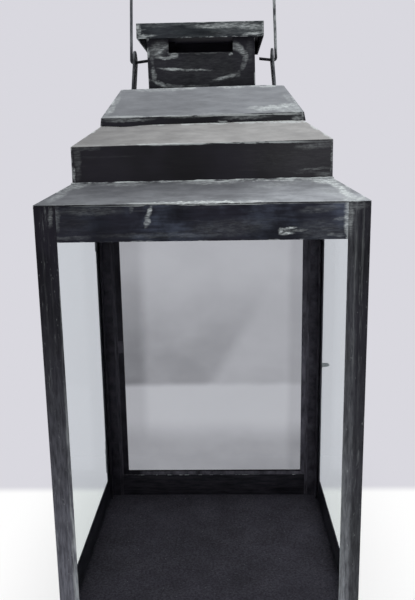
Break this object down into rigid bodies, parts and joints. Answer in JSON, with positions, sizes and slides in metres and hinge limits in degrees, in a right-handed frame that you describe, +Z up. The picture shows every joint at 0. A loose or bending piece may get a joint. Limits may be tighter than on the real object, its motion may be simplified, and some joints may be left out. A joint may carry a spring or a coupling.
{
  "type": "garden lantern",
  "caption": "Square garden candle lantern: angle-framed glass sides, stepped roof, vented chimney with flat lid, swinging wire bail and hinged glazed back door.",
  "frame": {"origin": "middle of the base plate's underside, on the surface that the lantern stands on", "axes": "+Z up, +X to the right seen from the glazed front, -Y towards the front; the door is at +Y"},
  "size_m": [0.2662, 0.2629, 0.6053],
  "materials": {
    "frame_paint": "matt black paint dry-brushed with white on faces and edges",
    "inside_paint": "matt black paint, lightly scuffed",
    "roof_paint": "black paint washed over with white, thicker on the slopes",
    "chimney_paint": "matt black paint with white brush strokes",
    "ear_paint": "matt black paint, rubbed",
    "door_paint": "matt black paint with whitened edges",
    "hardware_paint": "matt black paint worn at the edges",
    "wire_paint": "black paint rubbed with white",
    "clear_glass": "clear float glass"
  },
  "bodies": {
    "lantern": {"base_plate": "inside_paint", "post_front_left": "frame_paint", "post_front_right": "frame_paint", "post_back_left": "frame_paint", "post_back_right": "frame_paint", "bottom_rail_front": "frame_paint", "bottom_rail_back": "frame_paint", "bottom_rail_left": "frame_paint", "bottom_rail_right": "frame_paint", "top_rail_front": "frame_paint", "top_rail_back": "frame_paint", "top_rail_left": "frame_paint", "top_rail_right": "frame_paint", "glass_front": "clear_glass", "glass_left": "clear_glass", "glass_right": "clear_glass", "glass_clamp_front_left": "inside_paint", "glass_clamp_front_right": "inside_paint", "glass_clamp_back_left": "inside_paint", "glass_clamp_back_right": "inside_paint", "lower_roof": "roof_paint", "middle_roof": "roof_paint", "upper_roof": "roof_paint", "chimney": "chimney_paint", "chimney_cap": "chimney_paint", "ear_left": "ear_paint", "ear_right": "ear_paint", "hinge_leaf_post_lower": "hardware_paint", "hinge_leaf_post_upper": "hardware_paint", "hinge_pin_lower": "hardware_paint", "hinge_pin_upper": "hardware_paint", "latch_stud": "hardware_paint"},
    "bail": {"bail": "wire_paint"},
    "door": {"door_stile_hinge": "door_paint", "door_stile_latch": "door_paint", "door_rail_top": "door_paint", "door_rail_bottom": "door_paint", "door_glass": "clear_glass", "hinge_leaf_door_lower": "hardware_paint", "hinge_leaf_door_upper": "hardware_paint", "door_knob": "hardware_paint"},
    "turn_button": {"latch_button": "hardware_paint"}
  },
  "joints": [
    {"name": "bail_swing", "type": "hinge", "parent": "lantern", "child": "bail", "pos_m": [0, 0, 0.4819], "axis": [1, 0, 0], "range_deg": [-112, 112]},
    {"name": "door_swing", "type": "hinge", "parent": "lantern", "child": "door", "pos_m": [-0.1274, 0.1318, 0.18275], "axis": [0, 0, 1], "range_deg": [0, 260]},
    {"name": "button_turn", "type": "hinge", "parent": "lantern", "child": "turn_button", "pos_m": [0.1218, 0.1304, 0.161], "axis": [0, 1, 0], "range_deg": [0, 180]}
  ]
}
